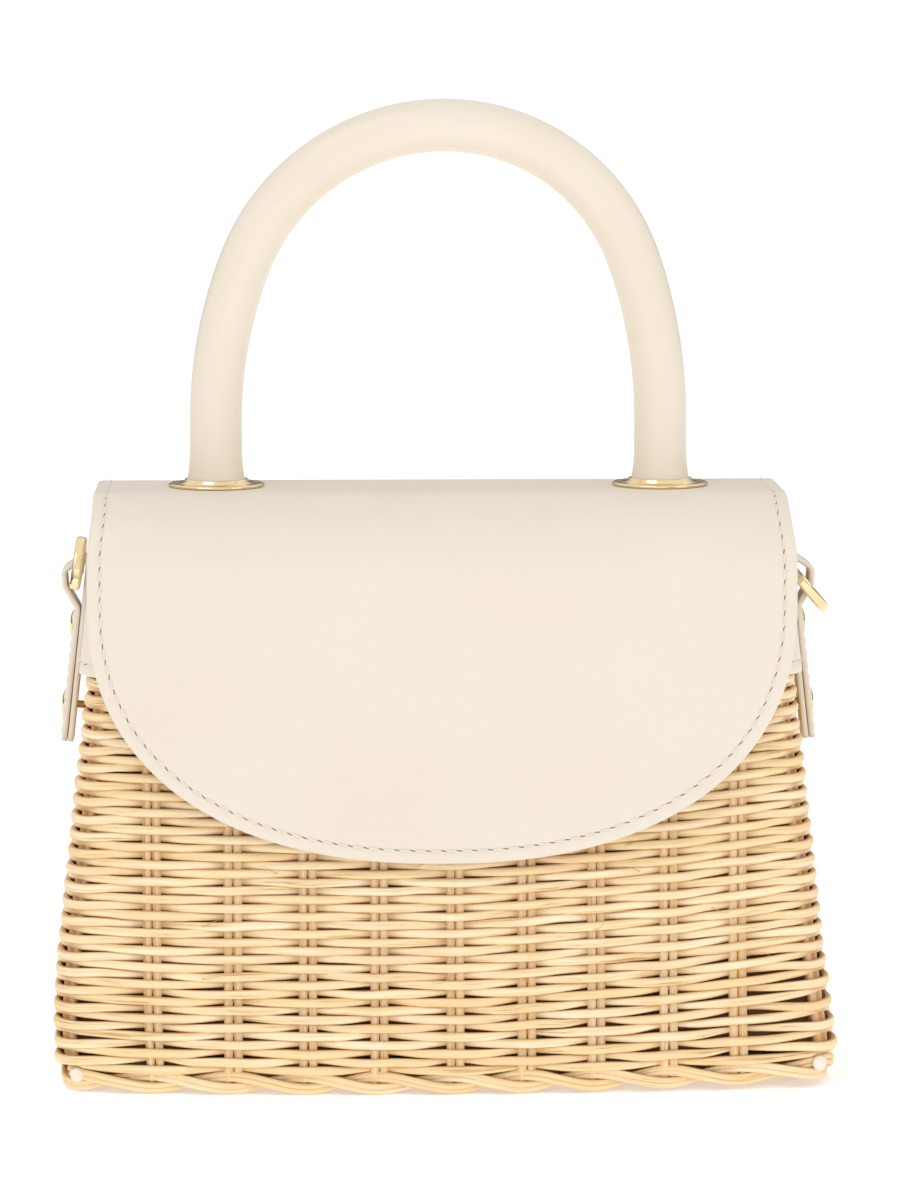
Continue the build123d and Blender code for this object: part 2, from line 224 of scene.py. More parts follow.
def hole_shade_material():
    material, tree, shader = start_material("needle_hole_shade", {"Roughness": 0.8})
    place = put(tree, "TexCoord", out="Object")
    fuzz = put(tree, "TexNoise", {"Vector": place, "Scale": 700.0}, "Fac")
    share = put(tree, "MapRange", {0: fuzz, 1: 0.3, 2: 0.7})
    ends = {FROM: colour("7D6D5D"), TO: colour("A08F7C")}
    fill(tree, shader, {"Base Color": put(tree, "Mix", {SHARE: share, **ends}, MIXED, data_type="RGBA")})
    return material


def canvas_material(name, tone, deep, scale):
    material, tree, shader = start_material(name, {"Roughness": 0.85, "Sheen Weight": 0.25})
    place = put(tree, "TexCoord", out="Object")
    # a thread is 0.314 / scale of a metre wide
    warp, weft = (
        put(tree, "TexWave", {"Vector": place, "Scale": scale}, "Fac", bands_direction=direction)
        for direction in ("X", "Z")
    )
    woven = put(tree, "Math", {0: warp, 1: weft}, operation="MULTIPLY")
    soft = put(tree, "TexNoise", {"Vector": place, "Scale": 90.0, "Detail": 3.0}, "Fac")
    share = put(tree, "MapRange", {0: soft, 1: 0.3, 2: 0.7})
    base = put(tree, "Mix", {SHARE: share, FROM: colour(tone), TO: colour(deep)}, MIXED, data_type="RGBA")
    # painted shade: the gaps between the threads are painted towards dark brown
    thread_gap_shade = put(tree, "MapRange", {0: woven, 1: 0.0, 2: 1.0, 3: 0.35, 4: 0.0})
    base = put(tree, "Mix", {SHARE: thread_gap_shade, FROM: base, TO: colour("5B4630")}, MIXED, data_type="RGBA")
    bump = put(tree, "Bump", {"Height": woven, "Strength": 0.5, "Distance": 0.0001})
    fill(tree, shader, {"Base Color": base, "Normal": bump})
    return material


gold = metal_material("gold_plated_brass", "F0D9AC", "CBA566", 0.1, 260.0)
steel = metal_material("nickel_steel", "C9C8C4", "C9C8C4", 0.24, 400.0)
thread = thread_material()
needle_hole_shade = hole_shade_material()
# real canvas has threads half a millimetre wide, and here they are 0.63 mm so that they show
canvas = canvas_material("cotton_canvas", "A5835C", "94744F", 500.0)
board_card = canvas_material("grey_board", "A89A84", "9C8D76", 200.0)
print("materials", len(bpy.data.materials))

# %% [markdown]
# ## Meshes: the helpers
# Most pieces here are made as grids of points in numpy and handed to Blender in one go,
# because thousands of strand segments would be slow to make one at a time.


# %% Mesh helpers
def make_piece(name, points, faces, material, body=None, attributes=None):
    """A smooth mesh from points in millimetres. It rides on a body if one is named."""
    mesh = bpy.data.meshes.new(name)
    mesh.from_pydata((np.asarray(points, float) * MM).tolist(), [], [list(map(int, f)) for f in faces])
    mesh.validate()
    shell = bmesh.new()
    shell.from_mesh(mesh)
    bmesh.ops.recalc_face_normals(shell, faces=shell.faces)
    shell.to_mesh(mesh)
    shell.free()
    mesh.shade_smooth()
    for key, values in (attributes or {}).items():
        values = np.asarray(values, np.float32)
        if values.ndim == 1:
            mesh.attributes.new(key, "FLOAT", "POINT").data.foreach_set("value", values)
        else:
            mesh.attributes.new(key, "FLOAT_VECTOR", "POINT").data.foreach_set("vector", values.ravel())
    piece = bpy.data.objects.new(name, mesh)
    scene.collection.objects.link(piece)
    mesh.materials.append(material)
    if body:
        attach(piece, body)
    return piece


def grid_faces(rows, columns, rows_closed=False, columns_closed=False, start=0):
    """Quads of a grid whose points are stored row by row."""
    r = np.arange(rows if rows_closed else rows - 1)
    c = np.arange(columns if columns_closed else columns - 1)
    r, c = np.meshgrid(r, c, indexing="ij")
    r2, c2 = (r + 1) % rows, (c + 1) % columns
    quads = np.stack([r * columns + c, r2 * columns + c, r2 * columns + c2, r * columns + c2], -1)
    return quads.reshape(-1, 4) + start


def tube_faces(rings, sides):
    """Quads along an open tube, and a cap on each end."""
    last = (rings - 1) * sides
    caps = [tuple(range(sides)), tuple(range(last + sides - 1, last - 1, -1))]
    return [*grid_faces(rings, sides, False, True), *caps]


def circle(number, first=0.0):
    """Angles spaced evenly round a circle."""
    return (np.arange(number) + first) * 2 * math.pi / number


def closed(loop):
    """A loop with its first point again at its end."""
    return np.concatenate([loop, loop[:1]])


def pieces(line):
    """The length of each piece of a line."""
    return np.linalg.norm(np.diff(line, axis=0), axis=1)


def run_along(line):
    """How far along a line each of its points lies."""
    return np.concatenate([[0], np.cumsum(pieces(line))])


def even_points(line, number):
    """Points spaced evenly along a closed line."""
    run = run_along(line)
    at = np.arange(number) / number * run[-1]
    return np.stack([np.interp(at, run, line[:, k]) for k in (0, 1)], 1)


def strand_grain(along, around, tag):
    """What the cane material reads: how far along and round a strand a point is, and its number."""
    return np.stack(np.broadcast_arrays(along[:, None], around[None, :], tag), -1)


class Heap:
    """Collects many small meshes into one."""

    def __init__(self):
        self.points, self.faces, self.grain, self.tuck, self.count = [], [], [], [], 0

    def add(self, points, faces, grain=None, tuck=None):
        points = points.reshape(-1, 3)
        self.points.append(points)
        self.faces += [tuple(int(i) + self.count for i in f) for f in faces]
        self.grain.append(np.zeros((len(points), 3)) if grain is None else grain.reshape(-1, 3))
        self.tuck.append(np.zeros(len(points)) if tuck is None else tuck.ravel())
        self.count += len(points)

    def build(self, name, material, body=None, slot=None, strands=False):
        points = np.concatenate(self.points)
        extra = {"grain": np.concatenate(self.grain), "tuck": np.concatenate(self.tuck)} if strands else None
        return make_piece(name, points, self.faces, material, body, extra)


def smooth_step(x):
    x = np.clip(x, 0, 1)
    return x * x * (3 - 2 * x)


# %% [markdown]
# ## The shape of the box
# The box narrows evenly from just above its base to the rim. Its front and back bulge a
# little, and its corners are rounded. One function gives the outline at any height as
# points, with the direction that faces out at each. It walks the outline stake by stake,
# since the upright stakes set the rhythm of the whole weave.

# %% Box outline
BASE_HALF, RIM_HALF, BASE_DEEP, RIM_DEEP = 102.0, 88.0, 45.0, 33.0
WIDEST, RIM, CORNER, FOOT_TUCK = 9.0, 134.0, 9.0, 2.5
FRONT_STAKES = [-74.3, -53.6, -34.6, -16.3, 3.0, 21.4, 39.3, 57.9, 76.0]
END_STAKES = [-18.5, 0.0, 18.5]
STAKES = 28
PER_STAKE = 10
FRONT_POINTS, CORNER_POINTS, END_POINTS = 161, 25, 61


def share_up(z):
    return np.maximum(0.0, (np.asarray(z, float) - WIDEST) / (RIM - WIDEST))


def narrowing(z, base, rim):
    """A half width that goes from base to rim, and is tucked in below the widest height."""
    tuck = FOOT_TUCK * np.clip((WIDEST - np.asarray(z, float)) / WIDEST, 0, 1)
    return base + (rim - base) * share_up(z) - tuck


def half_length(z):
    return narrowing(z, BASE_HALF, RIM_HALF)


def half_depth(z):
    return narrowing(z, BASE_DEEP, RIM_DEEP)


def bow(z):
    return np.maximum(0.5, 6.0 - 5.5 * share_up(z))


def outline(z):
    """Points, outward directions and stake count along the outline at one height."""
    a, b, w = float(half_length(z)), float(half_depth(z)), float(bow(z))
    reach = a - CORNER
    xs = np.linspace(-reach, reach, FRONT_POINTS)
    slope = 2 * w * xs / a**2
    centre = np.stack([xs, -(b - CORNER - w * (xs / a) ** 2)], 1)
    facing = np.stack([slope, -np.ones_like(xs)], 1) / np.hypot(slope, 1)[:, None]
    turn = np.linspace(math.atan2(facing[-1, 1], facing[-1, 0]), 0, CORNER_POINTS)
    corner = np.repeat(centre[-1:], len(turn), 0)
    corner_facing = np.stack([np.cos(turn), np.sin(turn)], 1)
    ys = np.linspace(centre[-1, 1], -centre[-1, 1], END_POINTS)
    end = np.stack([np.full_like(ys, reach), ys], 1)
    end_facing = np.tile([1.0, 0.0], (len(ys), 1))
    half_centre = np.concatenate([centre, corner[1:], end[1:], (corner * [1, -1])[::-1][1:]])
    next_facing = (corner_facing * [1, -1])[::-1]
    half_facing = np.concatenate([facing, corner_facing[1:], end_facing[1:], next_facing[1:]])
    centres = np.concatenate([half_centre, -half_centre[1:]])
    facings = np.concatenate([half_facing, -half_facing[1:]])
    line = centres + CORNER * facings
    length = run_along(line)
    total = length[-1]
    # the stakes along the front, in the middle of a corner, along the end and in the next corner
    front, end = slice(0, FRONT_POINTS), slice(FRONT_POINTS + CORNER_POINTS - 2, None)
    end_y, end_length = line[end, 1][:END_POINTS], length[end][:END_POINTS]
    mid_corner = CORNER_POINTS // 2
    at = [np.interp(x, line[front, 0], length[front]) for x in FRONT_STAKES]
    at.append(length[FRONT_POINTS - 1 + mid_corner])
    at += [np.interp(y * b / BASE_DEEP, end_y, end_length) for y in END_STAKES]
    at.append(length[end][END_POINTS - 1 + mid_corner])
    at = np.array(at)
    knots = np.concatenate([at, at + total / 2, [at[0] + total]])
    count = np.arange(STAKES * PER_STAKE) / PER_STAKE
    where = np.interp(count, np.arange(STAKES + 1), knots) % total
    point = np.stack([np.interp(where, length, line[:, k]) for k in (0, 1)], 1)
    out = np.stack([np.interp(where, length, facings[:, k]) for k in (0, 1)], 1)
    out /= np.linalg.norm(out, axis=1)[:, None]
    return point, out, count


first_line, _, _ = outline(WIDEST)
print("outline points", len(first_line), "widest", np.round(np.ptp(first_line, axis=0), 1), "mm")

# %% [markdown]
# ## Weaving by hand is never quite level
# The rows climb towards the right end, and the left foot of the box is pulled in a few
# millimetres. A single function moves any point of the weave in this way, so stakes,
# rows and border all agree.


# %% Hand-made unevenness
def uneven(points):
    """The small ways in which the woven box leaves its regular shape, in mm."""
    p = np.array(points, float)
    x, z = p[..., 0], p[..., 2]
    climb = 0.057 * np.maximum(0, np.hypot(np.maximum(x - 2, 0), 8) - 8)
    share = (0.25 + 0.75 * smooth_step(z / 30)) * (1 - smooth_step((z - 92) / 40))
    climb = climb + 0.035 * np.maximum(0, -x - 66) + 0.055 * np.maximum(0, x - 62)
    new_z = z + climb * share
    p[..., 1] *= half_depth(np.maximum(new_z, WIDEST)) / half_depth(np.maximum(z, WIDEST))
    p[..., 0] *= half_length(np.maximum(new_z, WIDEST)) / half_length(np.maximum(z, WIDEST))
    low = np.exp(-((z / 15) ** 2))
    p[..., 0] += 2.8 * low * smooth_step((-x - 60) / 40) + 0.8 * low * smooth_step((x - 70) / 30)
    p[..., 2] = new_z
    return p


# %% [markdown]
# ## Rows of cane
# A weaver passes in front of one stake and behind the next, and the row above does the
# opposite. So each row is one long tube whose distance from the wall's face swings like a
# wave between stakes. It is a little taller where it lies over a stake, and a little
# thinner where it dives behind. Small random swells keep the rows from looking machine-made.

# %% Rows of cane
ROW, FIRST_ROW, BELOW_RIM, SIDES = 2.18, 6.5, 1.2, 8
CORNER_STAKES = (9, 13, 23, 27)
BACK_STAKE = 18
ROWS = int((RIM - BELOW_RIM - FIRST_ROW) / ROW) + 1
# place round a strand's section from 0 to 1: the top and bottom lie at a quarter and three quarters
ROUND = (np.arange(SIDES) + 0.5) / SIDES
chance = np.random.default_rng(12)


def swell(count, waves, size):
    """Smooth random variation round a closed row."""
    total = np.zeros(len(count))
    for k in waves:
        total += chance.normal() * np.cos(2 * np.pi * k * count / STAKES + chance.uniform(0, 6.3))
    return size * total / math.sqrt(len(waves))


def strand(line, out, depth, height, up_half, out_half):
    """A strand round the box, depth out from a line at its own heights, and how far along it is."""
    flat_out = np.concatenate([out, np.zeros((len(out), 1))], 1)
    centre = uneven(np.concatenate([line + out * depth[:, None], height[:, None]], 1))
    around = math.pi + circle(SIDES, 0.5)
    tall = np.abs(np.sin(around)) ** 0.72 * np.sign(np.sin(around))
    deep = np.abs(np.cos(around)) ** 0.85 * np.sign(np.cos(around))
    ring = centre[:, None, :] + flat_out[:, None, :] * (deep[None, :] * out_half[:, None])[..., None]
    ring[..., 2] += tall[None, :] * up_half[:, None]
    return ring, run_along(centre)


def from_back(z):
    """The outline started at the middle of the back, where the ends of a strand are hidden."""
    return [np.roll(v, -BACK_STAKE * PER_STAKE, axis=0) for v in outline(z)]


def near_corner(count):
    """1 at a corner of the box, falling to 0 by the next stakes."""
    away = np.min([np.abs((count - c + STAKES / 2) % STAKES - STAKES / 2) for c in CORNER_STAKES], axis=0)
    return np.exp(-((away / 0.55) ** 2))


heaps = [Heap(), Heap()]
for row in range(ROWS):
    level = FIRST_ROW + ROW * row
    line, out, count = from_back(level)
    over = np.cos(math.pi * (count + row))
    behind = np.clip(-over, 0, 1)
    corner = near_corner(count)
    rise = np.clip(over, 0, 1) ** 0.9
    dive = behind**4 * (1 - 0.3 * corner)
    # near the foot the rows part a little more where they dive
    low = float(1 - smooth_step((level - 12) / 34)) ** 1.4
    depth = -1.95 + 0.92 * rise - 1.35 * dive + swell(count, (9, 14, 23, 31), 0.12)
    up_half = 1.14 + 0.08 * rise - (0.02 + 0.3 * low) * behind**1.2 + swell(count, (11, 17, 29), 0.05)
    out_half = 0.95 - 0.1 * dive + swell(count, (8, 19), 0.04)
    height = level + (0.06 + 0.4 * low) * behind - 0.45 * corner * rise
    height = height + swell(count, (3, 5, 9, 13), 0.12) + swell(count, (27, 36), 0.06)
    ring, along = strand(line, out, depth, height, up_half, out_half)
    tag = chance.uniform(0, 1)
    grain = strand_grain(along + 400 * tag, ROUND, tag)
    faces = grid_faces(len(ring), SIDES, True, True)
    # the dive share is handed on as tuck, so a row is painted darker as shade where it dives behind a stake
    heaps[row % 2].add(ring, faces, grain, np.repeat(dive[:, None], SIDES, 1))

rows_a = heaps[0].build("cane_rows_a", cane, "basket", "cane", strands=True)
rows_b = heaps[1].build("cane_rows_b", cane, "basket", "cane", strands=True)
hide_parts("wicker_shell")
print("rows", ROWS, "of", STAKES, "stakes,", len(rows_a.data.polygons) + len(rows_b.data.polygons), "quads")

# %% [markdown]
# ## Stakes
# The uprights are pairs of thin rods. They show only through the small windows where a row
# dives behind them. Each rod has a couple of split lines along it, cut here as real
# grooves in its section, because light catches their edges.

# %% Stakes
stake_heap = Heap()
ROD_SIDES = 18
STAKE_DEPTH, CORNER_DEPTH, FOOT_DEPTH = -2.55, -3.5, -1.2
rod_turn = circle(ROD_SIDES)
levels = np.concatenate([[1.6, 3.2, 5.0], np.linspace(8, 132.5, 26)])
outlines = [outline(level) for level in levels]
for stake in range(STAKES):
    at_corner = stake in CORNER_STAKES
    for side in (-1, 1):
        tag = chance.uniform(0, 1)
        grooves = chance.uniform(-0.9, 0.9, 2)
        radius = 1.14 + chance.uniform(-0.07, 0.07)
        across = 1.22 + chance.uniform(-0.1, 0.1)
        from_groove = [(rod_turn - g + math.pi) % (2 * math.pi) - math.pi for g in grooves]
        spoke = radius * (1 - sum(0.2 * np.exp(-((away / 0.2) ** 2)) for away in from_groove))
        ring = []
        for level, (line, out, _) in zip(levels, outlines):
            base, facing = line[stake * PER_STAKE], out[stake * PER_STAKE]
            beside = np.array([-facing[1], facing[0]])
            depth = (CORNER_DEPTH if at_corner else STAKE_DEPTH) + (FOOT_DEPTH if level < 3 else 0.0)
            spots = base + facing * depth + beside * side * across
            spots = spots + np.outer(np.cos(rod_turn) * spoke, facing)
            spots = spots + np.outer(np.sin(rod_turn) * spoke, beside)
            ring.append(np.concatenate([spots, np.full((ROD_SIDES, 1), level)], 1))
        ring = uneven(np.array(ring))
        grain = strand_grain(levels + 300 * tag, 0.12 * np.cos(rod_turn + tag * 6), tag)
        # the stakes sit behind the rows and are painted darker as shade through their tuck, more at the deeper
        # corners
        tuck = np.full(ring.shape[:2], 0.9 if at_corner else 0.4)
        stake_heap.add(ring, tube_faces(len(levels), ROD_SIDES), grain, tuck)
stake_heap.build("cane_stakes", cane, "basket", "cane", strands=True)
print("stake rods", 2 * STAKES)

# %% [markdown]
# ## The foot border
# Two pairs of strands twist round each other along the foot like a rope. They lie one above
# the other at each stake and cross between stakes, which gives the scalloped lower edge.
# The stakes end between them.

# %% Foot border
border_heap = Heap()
line, out, count = from_back(2.4)
for ply, beside in ((0, -1), (0, 1), (1, -1), (1, 1)):
    turn = math.pi * (count + ply)
    twist = 1.62 * np.cos(turn) * np.abs(np.cos(turn)) ** 0.15
    height = 3.15 + twist + 0.66 * beside + swell(count, (7, 13), 0.06)
    depth = -1.5 + 1.0 * np.sin(turn) + 0.12 * beside
    half = 0.86 + swell(count, (6, 15), 0.04)
    ring, along = strand(line, out, depth, height, half, half * 1.02)
    grain = strand_grain(along + 170 * ply + 60 * beside, ROUND, 0.31 + 0.4 * ply + 0.1 * beside)
    # the border strands carry a little painted shade through their tuck
    border_heap.add(ring, grid_faces(len(ring), SIDES, True, True), grain, np.full(ring.shape[:2], 0.2))
border = border_heap.build("cane_border", cane, "basket", "cane", strands=True)
print("border lowest", round(float(min(v.co.z for v in border.data.vertices)) * 1000, 2), "mm")

# %% [markdown]
# ## Split fibres
# Peeled cane always has a few fibres that lift and curl. Each one here is a tapering hair
# rooted inside a strand and lying close over the weave.

# %% Split fibres
fibre_heap = Heap()
FIBRES, FIBRE_RINGS, FIBRE_SIDES = 26, 12, 5
for _ in range(FIBRES):
    level = chance.uniform(12, 98)
    line, out, _ = outline(level)
    spot = int(chance.integers(0, 9 * PER_STAKE)) + (STAKES // 2 * PER_STAKE if chance.uniform() < 0.3 else 0)
    base, facing_out = line[spot], np.append(out[spot], 0.0)
    beside = np.array([-facing_out[1], facing_out[0], 0.0])
    t = np.linspace(0, 1, FIBRE_RINGS)
    reach, curl, phase = chance.uniform(3, 7), chance.uniform(0.6, 1.8), chance.uniform(0, 6.3)
    middle = np.array([*base, level]) + np.outer(-1.1 + 1.75 * np.sin(2.6 * t), facing_out)
    middle = middle + np.outer(reach * t * chance.choice([-1, 1]), beside)
    middle[:, 2] += curl * (np.sin(3.2 * t + phase) - math.sin(phase))
    thick = 0.13 * (1 - 0.75 * t)
    turn = circle(FIBRE_SIDES)[None, :, None]
    ring = middle[:, None, :] + thick[:, None, None] * (
        np.cos(turn) * facing_out + np.sin(turn) * np.array([0, 0, 1.0])
    )
    # the fibres get the darker, browner tuck tint, the one that paints shade on set-back cane
    tuck = np.full(ring.shape[:2], 0.9)
    fibre_heap.add(uneven(ring), tube_faces(FIBRE_RINGS, FIBRE_SIDES), np.full(ring.shape, 0.3), tuck)
fibre_heap.build("cane_split_fibres", cane, "basket", "cane", strands=True)
print("split fibres", FIBRES)

# %% [markdown]
# ## The woven floor
# Under the bag the stake rods run across from front to back, and rows of cane go over and
# under them from end to end. It is the same weave as the walls laid flat.

# %% Woven floor
floor_heap = Heap()
FLOOR_ROW, FLOOR_REACH, ROD_ACROSS, ROD_LEVEL = 2.2, 39.6, 1.25, 3.1
floor_a, floor_b, floor_w = float(half_length(3)), float(half_depth(3)), float(bow(3))
stops = np.array([-95.0, *FRONT_STAKES, 96.0])
around = circle(SIDES, 0.5)
section = np.stack([0 * around, 1.08 * np.cos(around), 0.88 * np.sin(around)], 1)
for row, y in enumerate(np.arange(-FLOOR_REACH, FLOOR_REACH + 0.1, FLOOR_ROW)):
    reach = min(floor_a - 4.5, floor_a * math.sqrt(max(0.0, (floor_b - 3.5 - abs(y)) / floor_w)))
    if reach < 20:
        continue
    xs = np.linspace(-reach, reach, int(reach / 1.25))
    beat = np.interp(xs, stops, np.arange(len(stops))) + row
    dive = (1 - np.cos(math.pi * beat)) / 2
    level = 1.75 + 2.75 * dive
    tag = chance.uniform(0, 1)
    centre = np.stack([xs, np.full_like(xs, y + chance.normal() * 0.06), level], 1)
    grain = strand_grain(xs + 500 * tag, ROUND, tag)
    # where a floor strand dives under a rod it gets painted shade through its tuck
    tuck = np.repeat(dive[:, None] * 0.6, SIDES, 1)
    floor_heap.add(centre[:, None, :] + section[None], tube_faces(len(xs), SIDES), grain, tuck)
around = circle(12)
section = 1.02 * np.stack([np.cos(around), 0 * around, np.sin(around)], 1)
for x in FRONT_STAKES:
    for side in (-1, 1):
        reach = floor_b - floor_w * (x / floor_a) ** 2 - 3.0
        ys = np.linspace(-reach, reach, 30)
        centre = np.stack([np.full_like(ys, x + side * ROD_ACROSS), ys, np.full_like(ys, ROD_LEVEL)], 1)
        ring = centre[:, None, :] + section[None]
        grain = strand_grain(ys + 7 * x, around / 6.3, 0.5)
        # the rods under the rows get painted shade through their tuck
        floor_heap.add(ring, tube_faces(len(ys), len(around)), grain, np.full(ring.shape[:2], 0.4))
woven_floor = floor_heap.build("cane_floor", cane, "basket", "cane", strands=True)
print("floor quads", len(woven_floor.data.polygons))

# %% [markdown]
# ## The leather facing
# A strip of leather is glued and stitched over the top of the weave. It folds over the
# rim, and at each end it rises into a rounded tongue that closes the gap under the lid. Its
# section is drawn once, and swept round the outline. Where the strip rises into a tongue
# the upper points of the section are simply lifted.

# %% Facing section swept round the rim
FACING_LOW, FACING_TOP, GROOVE = 106.5, 135.0, 3.1
TONGUE_RISE, TONGUE_HALF = 13.4, 29.0
line_rim, out_rim, _ = outline(RIM)


def tongue_top(x, y):
    """Height of the leather's upper edge: an arch across each end."""
    radius = (TONGUE_HALF**2 + TONGUE_RISE**2) / (2 * TONGUE_RISE)
    arch = RIM + TONGUE_RISE - radius + np.sqrt(np.maximum(radius**2 - y**2, 0))
    on_end = (np.abs(x) > RIM_HALF - 1.5) & (np.abs(y) < TONGUE_HALF)
    return np.where(on_end, np.maximum(arch, FACING_TOP), FACING_TOP)


rise = tongue_top(line_rim[:, 0], line_rim[:, 1]) - FACING_TOP
# each point of the section: how far out, how high, and its share of the tongue's rise
low_edge = [(0.1, 0.5), (0.3, 0.1), (0.8, 0), (1.3, 0.15), (1.5, 0.6), (1.5, 1.8), (1.5, 2.6)]
low_edge += [(1.36, GROOVE), (1.5, 3.6)]
section = [(n, FACING_LOW + above, 0) for n, above in low_edge]
section += [(1.5, z, 0) for z in (112, 117, 122, 128, 132.5)]
fold = [(1.5, 134.0), (1.3, 134.6), (0.8, 134.9), (-0.4, 135.0), (-1.7, 134.9), (-2.4, 134.6), (-2.7, 134.0)]
section += [(n, z, 1) for n, z in fold] + [(-2.75, 134.2, 0.5)]
inner_side = [(-2.9, 134.9), (-4.0, 134.9), (-6.5, 134.9), (-8.3, 134.7), (-8.9, 134.2), (-9.1, 133.0)]
inner_side += [(-9.1, 128.0), (-9.1, 123.0), (-8.9, 121.7), (-8.4, 121.4), (-8.2, 122.5), (-7.9, 133.2)]
inner_side += [(-4.5, 133.8), (-1.0, 133.6), (0.1, 130.0), (0.1, 115.0)]
section += [(n, z, 0) for n, z in inner_side]
columns = []
for n, z, lift in section:
    line, out, _ = outline(z)
    columns.append(np.concatenate([line + out * n, (z + rise * lift)[:, None]], 1))
ring = np.stack(columns, 1)
slant = share_up(ring[..., 2]) - share_up(np.array([z for _, z, _ in section]))[None, :]
ring[..., 0] -= np.sign(ring[..., 0]) * np.abs(out_rim[:, None, 0]) * slant * (BASE_HALF - RIM_HALF)
facing_faces = grid_faces(len(ring), len(section), True, True)[:, ::-1]
facing = make_piece("rim_leather", ring.reshape(-1, 3), facing_faces, lid_leather, "basket")
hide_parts("rim_facing", "rim_hoop", "end_board_left", "end_board_right")
across = float(pieces(np.array([(n, z) for n, z, _ in section])).sum()) / 2

# %% [markdown]
# ## Stitches
# Each stitch is a short bead of thread that comes out of one needle hole and goes down the
# next. The helper lays beads, and at each needle hole a flat dark dash of painted shade,
# along any line on any leather face. It works on the flat pattern, across, along and height
# above the leather, and the face's own function then bends the finished stitches into place.


# %% Stitch helper
BEAD_T = np.array([-1.0, -0.8, -0.35, 0.35, 0.8, 1.0])
BEAD_WIDE = np.array([0.25, 0.85, 1.0, 1.0, 0.85, 0.25])
BEAD_DROP = np.array([0.34, 0.1, 0.0, 0.0, 0.1, 0.34])
BEAD_SIDES = 6


def lay_stitches(name, pts, is_loop, bend, body=None, pitch=3.95, long=2.75):
    """Thread beads, and flat dark dashes of painted shade at the needle holes, along a line of the flat
    pattern. bend(a, b, h) gives points.
    """
    beads, holes = Heap(), Heap()
    around = circle(BEAD_SIDES)[None]
    faces = tube_faces(len(BEAD_T), BEAD_SIDES)
    faces = [tuple(f)[::-1] for f in faces[:-2]] + faces[-2:]
    # heap, half length, place in the pitch, half width, height, slant, drop at the ends, flatness
    thread_shape = (beads, long / 2, 0.5, 0.27, 0.16, 0.12, 1.0, 1.0)
    # the needle holes are flat dark dashes lying on the leather: painted shade in the holes
    hole_shape = (holes, 0.8, 0.0, 0.16, 0.0, 0.2, 0.4, 0.35)
    pts = np.array(pts, float)
    length = run_along(closed(pts) if is_loop else pts)
    if is_loop:
        pts = closed(pts)
    number = max(1, round(length[-1] / pitch))
    step = length[-1] / number
    for k in range(number):
        for heap, half, offset, wide, high, slant, drop, flat in (thread_shape, hole_shape):
            if heap is holes and not is_loop and k == 0:
                continue
            s = (k + offset) * step + BEAD_T * half
            if is_loop:
                s = s % length[-1]
            a, b = (np.interp(s, length, pts[:, axis]) for axis in (0, 1))
            da, db = a[-1] - a[0], b[-1] - b[0]
            size = math.hypot(da, db) or 1.0
            width = (wide * BEAD_WIDE)[:, None]
            sideways = width * np.cos(around) + (BEAD_T * slant)[:, None]
            height = (high - BEAD_DROP * drop)[:, None] + width * np.sin(around) * flat
            heap.add(bend(a[:, None] - db / size * sideways, b[:, None] + da / size * sideways, height), faces)
    return [beads.build(name + "_thread", thread, body), holes.build(name + "_holes", needle_hole_shade, body)]


GROOVE_Z, ON_FACE = FACING_LOW + GROOVE, 1.42
line_low, out_low, _ = outline(GROOVE_Z)
facing_run = run_along(closed(line_low))
facing_length = float(pieces(closed(line_low)).sum())


def on_facing(a, b, h):
    """The facing's outer face: a in millimetres round the strip, b the height, h out of the leather."""
    place = np.mod(np.interp(a, facing_run, np.arange(len(facing_run)) / PER_STAKE), STAKES) * PER_STAKE
    grid = np.arange(STAKES * PER_STAKE + 1)
    x, y, nx, ny = (np.interp(place, grid, closed(v)) for v in (*line_low.T, *out_low.T))
    return np.stack([x + nx * (ON_FACE + h), y + ny * (ON_FACE + h), b + 0 * x], -1)


groove_line = [(1.0, GROOVE_Z), (facing_length - 1.0, GROOVE_Z)]
facing_stitches = lay_stitches("rim_stitch", groove_line, False, on_facing, "basket")
print("facing stitched along", round(facing_length), "mm")

# %% [markdown]
# ## The lid
# The lid is a single piece of leather. It is sewn to the back of the box, bends over the
# top and hangs down the front in a wide rounded flap. To make it as a leather worker does,
# the flat pattern is drawn first, then rows of points follow its edge inwards so that the
# rounded edge and the stitch groove are real shape, and last the pattern is bent over the
# lid's profile.

# %% Lid profile
LID_TOP, BEND = 152.0, 22.0
LEAN = math.atan((BASE_DEEP - RIM_DEEP) / (RIM - WIDEST))
FLAT_HALF = float(half_depth(LID_TOP - BEND)) - (BEND - 3.9) / math.cos(LEAN)
TURN = math.pi / 2 - LEAN
ARC_END = FLAT_HALF + BEND * TURN
TURN_Z = LID_TOP - BEND + BEND * math.sin(LEAN)
FLAP_LOW, CURVE_TOP, LID_HALF = 60.0, 126.2, 90.0
PANEL_LOW, PANEL_HALF, PANEL_CORNER, HINGE = 98.0, 86.0, 12.0, 131.0


def down_to(z):
    """How far along the lid's profile from the middle of the top a height lies."""
    return ARC_END + (TURN_Z - z) / math.cos(LEAN)


def on_lid(x, p, h):
    """Bends the flat pattern: x across, p along from the top's middle, front positive, h out."""
    x, p, h = np.broadcast_arrays(np.asarray(x, float), np.asarray(p, float), np.asarray(h, float))
    far = np.abs(p)
    # behind, the panel is sewn to the box, half a millimetre further in
    h = h - 0.5 * smooth_step((far - down_to(HINGE)) / 6) * (p < 0)
    theta = np.clip((far - FLAT_HALF) / BEND, 0, TURN)
    extra = np.maximum(far - ARC_END, 0)
    y = np.minimum(far, FLAT_HALF) + (BEND + h) * np.sin(theta) + extra * math.sin(LEAN)
    z = LID_TOP - BEND + (BEND + h) * np.cos(theta) - extra * math.cos(LEAN)
    # the lid is pulled in a little where it turns over the top
    x = x * (1 - 0.013 * smooth_step((z - 136) / 14))
    return np.stack([x, np.where(p > 0, -y, y), z], -1)


